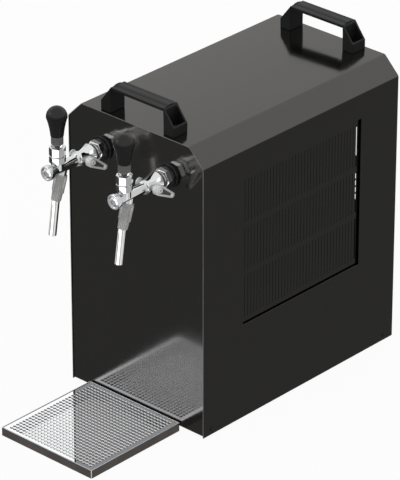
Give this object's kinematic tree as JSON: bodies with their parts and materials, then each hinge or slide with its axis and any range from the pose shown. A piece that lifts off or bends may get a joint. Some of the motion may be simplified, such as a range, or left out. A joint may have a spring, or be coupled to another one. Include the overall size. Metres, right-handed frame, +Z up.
{
  "type": "beer cooler",
  "caption": "Over-counter dry-contact beer cooler: folded steel case with carrying handles, lever taps with flow levers, and a loose drip tray in front.",
  "frame": {"origin": "middle of the footprint on the counter, under the middle of the bounding box", "axes": "+X to the right seen from the front, +Y from the taps to the rear, +Z up"},
  "size_m": [0.2774, 0.655, 0.5264],
  "materials": {
    "black_coated_steel": "semi-gloss powder coat",
    "zinc_plated_steel": "zinc plated",
    "black_rubber": "matte",
    "handle_plastic": "satin moulded",
    "chromed_brass": "mirror",
    "knob_plastic": "polished",
    "stainless_steel": "bright",
    "insulation_foam": "cellular",
    "cast_aluminium": "as cast",
    "compressor_enamel": "gloss enamel",
    "black_plastic": "satin moulded",
    "grey_metal": "machined",
    "copper": "drawn",
    "rocker_plastic": "polished",
    "inlet_plastic": "satin moulded",
    "brass": "bright"
  },
  "bodies": {
    "case": {"outer_cover": "black_coated_steel", "front_panel": "black_coated_steel", "rear_panel": "black_coated_steel", "side_grille_left": "black_coated_steel", "side_grille_right": "black_coated_steel", "case_screws": "black_coated_steel", "base_plate": "zinc_plated_steel", "fan_shroud": "zinc_plated_steel", "fan_strap": "zinc_plated_steel", "handle_screws": "zinc_plated_steel", "inlet_nuts": "zinc_plated_steel", "rubber_feet": "black_rubber", "compressor_grommets": "black_rubber", "handle_front": "handle_plastic", "handle_rear": "handle_plastic", "tap_shank_left": "chromed_brass", "coupling_nut_left": "chromed_brass", "tap_body_left": "chromed_brass", "end_cap_left": "chromed_brass", "tower_nut_left": "chromed_brass", "spout_sleeve_left": "chromed_brass", "tap_collar_left": "knob_plastic", "spout_left": "stainless_steel", "beer_line_left": "stainless_steel", "tap_shank_right": "chromed_brass", "coupling_nut_right": "chromed_brass", "tap_body_right": "chromed_brass", "end_cap_right": "chromed_brass", "tower_nut_right": "chromed_brass", "spout_sleeve_right": "chromed_brass", "tap_collar_right": "knob_plastic", "spout_right": "stainless_steel", "beer_line_right": "stainless_steel", "shank_nuts": "chromed_brass", "insulation_jacket": "insulation_foam", "cooling_block": "cast_aluminium", "condenser": "cast_aluminium", "compressor": "compressor_enamel", "start_relay_box": "black_plastic", "thermostat_body": "black_plastic", "switch_housing": "black_plastic", "power_inlet": "black_plastic", "fan_motor": "grey_metal", "refrigerant_pipes": "copper", "filter_drier": "copper", "inlet_fittings": "inlet_plastic", "power_pins": "brass"},
    "lever_left": {"tap_lever_left": "chromed_brass", "tap_knob_left": "knob_plastic"},
    "lever_right": {"tap_lever_right": "chromed_brass", "tap_knob_right": "knob_plastic"},
    "flow_left": {"flow_lever_left": "chromed_brass"},
    "flow_right": {"flow_lever_right": "chromed_brass"},
    "fan": {"fan_rotor": "black_plastic", "fan_shaft": "grey_metal"},
    "dial": {"thermostat_knob": "black_plastic"},
    "rocker": {"switch_rocker": "rocker_plastic"},
    "tray": {"drip_tray": "stainless_steel"},
    "grate": {"drip_grate": "stainless_steel", "grate_feet": "stainless_steel"}
  },
  "joints": [
    {"name": "tap_left", "type": "hinge", "parent": "case", "child": "lever_left", "pos_m": [-0.068, -0.2279, 0.4519], "axis": [1, 0, 0], "range_deg": [-12, 25]},
    {"name": "tap_right", "type": "hinge", "parent": "case", "child": "lever_right", "pos_m": [0.068, -0.2279, 0.4519], "axis": [1, 0, 0], "range_deg": [-12, 25]},
    {"name": "flow_left", "type": "hinge", "parent": "case", "child": "flow_left", "pos_m": [-0.068, -0.1785, 0.4239], "axis": [-1, 0, 0], "range_deg": [0, 90]},
    {"name": "flow_right", "type": "hinge", "parent": "case", "child": "flow_right", "pos_m": [0.068, -0.1785, 0.4239], "axis": [-1, 0, 0], "range_deg": [0, 90]},
    {"name": "fan_spin", "type": "hinge", "parent": "case", "child": "fan", "pos_m": [0.05, 0.0875, 0.2884], "axis": [1, 0, 0], "continuous": true},
    {"name": "dial_turn", "type": "hinge", "parent": "case", "child": "dial", "pos_m": [0.066, 0.304, 0.0784], "axis": [0, 1, 0], "range_deg": [0, 270]},
    {"name": "rocker_tip", "type": "hinge", "parent": "case", "child": "rocker", "pos_m": [-0.03, 0.297, 0.0784], "axis": [-1, 0, 0], "range_deg": [0, 14]},
    {"name": "tray_slide", "type": "slide", "parent": "case", "child": "tray", "axis": [0, -1, 0], "range_m": [0, 0.12]},
    {"name": "grate_lift", "type": "slide", "parent": "tray", "child": "grate", "axis": [0, 0, 1], "range_m": [0, 0.06]}
  ]
}
